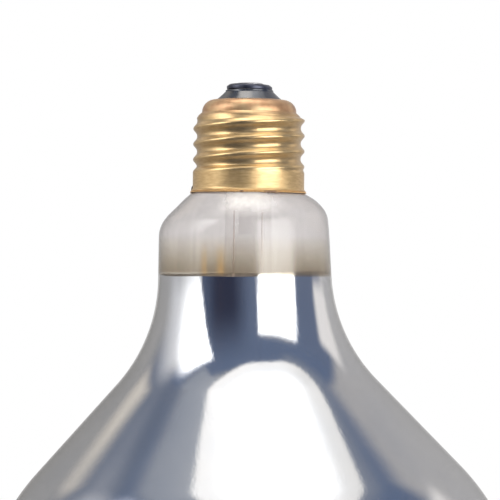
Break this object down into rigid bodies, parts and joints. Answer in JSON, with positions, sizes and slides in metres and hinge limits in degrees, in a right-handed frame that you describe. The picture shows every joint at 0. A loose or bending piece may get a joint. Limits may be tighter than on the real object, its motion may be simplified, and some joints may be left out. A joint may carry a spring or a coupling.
{
  "type": "heat lamp bulb",
  "caption": "Reflector heat lamp bulb with a brass screw cap, clear glass neck and mirrored glass body; gives out warmth and light through its domed face.",
  "frame": {"origin": "middle of the outer face of the centre contact, on the cap's axis", "axes": "+Z runs along the cap's axis out of the contact, so the bulb hangs below z = 0 with its domed face lowest; +X points right in the picture and -Y points to the viewer"},
  "size_m": [0.127, 0.127, 0.1658],
  "materials": {
    "solder": "dull grey solder",
    "contact": "dark, glossy",
    "insulator": "near-black glossy glass",
    "brass": "satin, rolled",
    "cement": "matte brown",
    "glass": "clear, slightly hazy",
    "mirror_film": "bright aluminium behind glass",
    "stem_glass": "clear",
    "copper": "drawn copper wire",
    "nickel": "drawn nickel wire",
    "tungsten": "dark grey wire"
  },
  "bodies": {
    "root": {"contact_solder": "solder", "contact_plate": "contact", "cap_insulator": "insulator", "screw_cap": "brass", "basing_cement": "cement", "side_solder": "solder", "glass_envelope": "glass", "mirror_coating": "mirror_film", "stem_tube": "stem_glass", "exhaust_tube": "stem_glass", "contact_lead": "copper", "side_lead": "copper", "seal_wire_left": "copper", "seal_wire_right": "copper", "feed_wire_left": "nickel", "feed_wire_right": "nickel", "support_rod": "stem_glass", "filament": "tungsten", "filament_hook_1": "tungsten", "filament_hook_2": "tungsten", "filament_hook_3": "tungsten", "filament_hook_4": "tungsten", "filament_hook_5": "tungsten"}
  },
  "joints": []
}
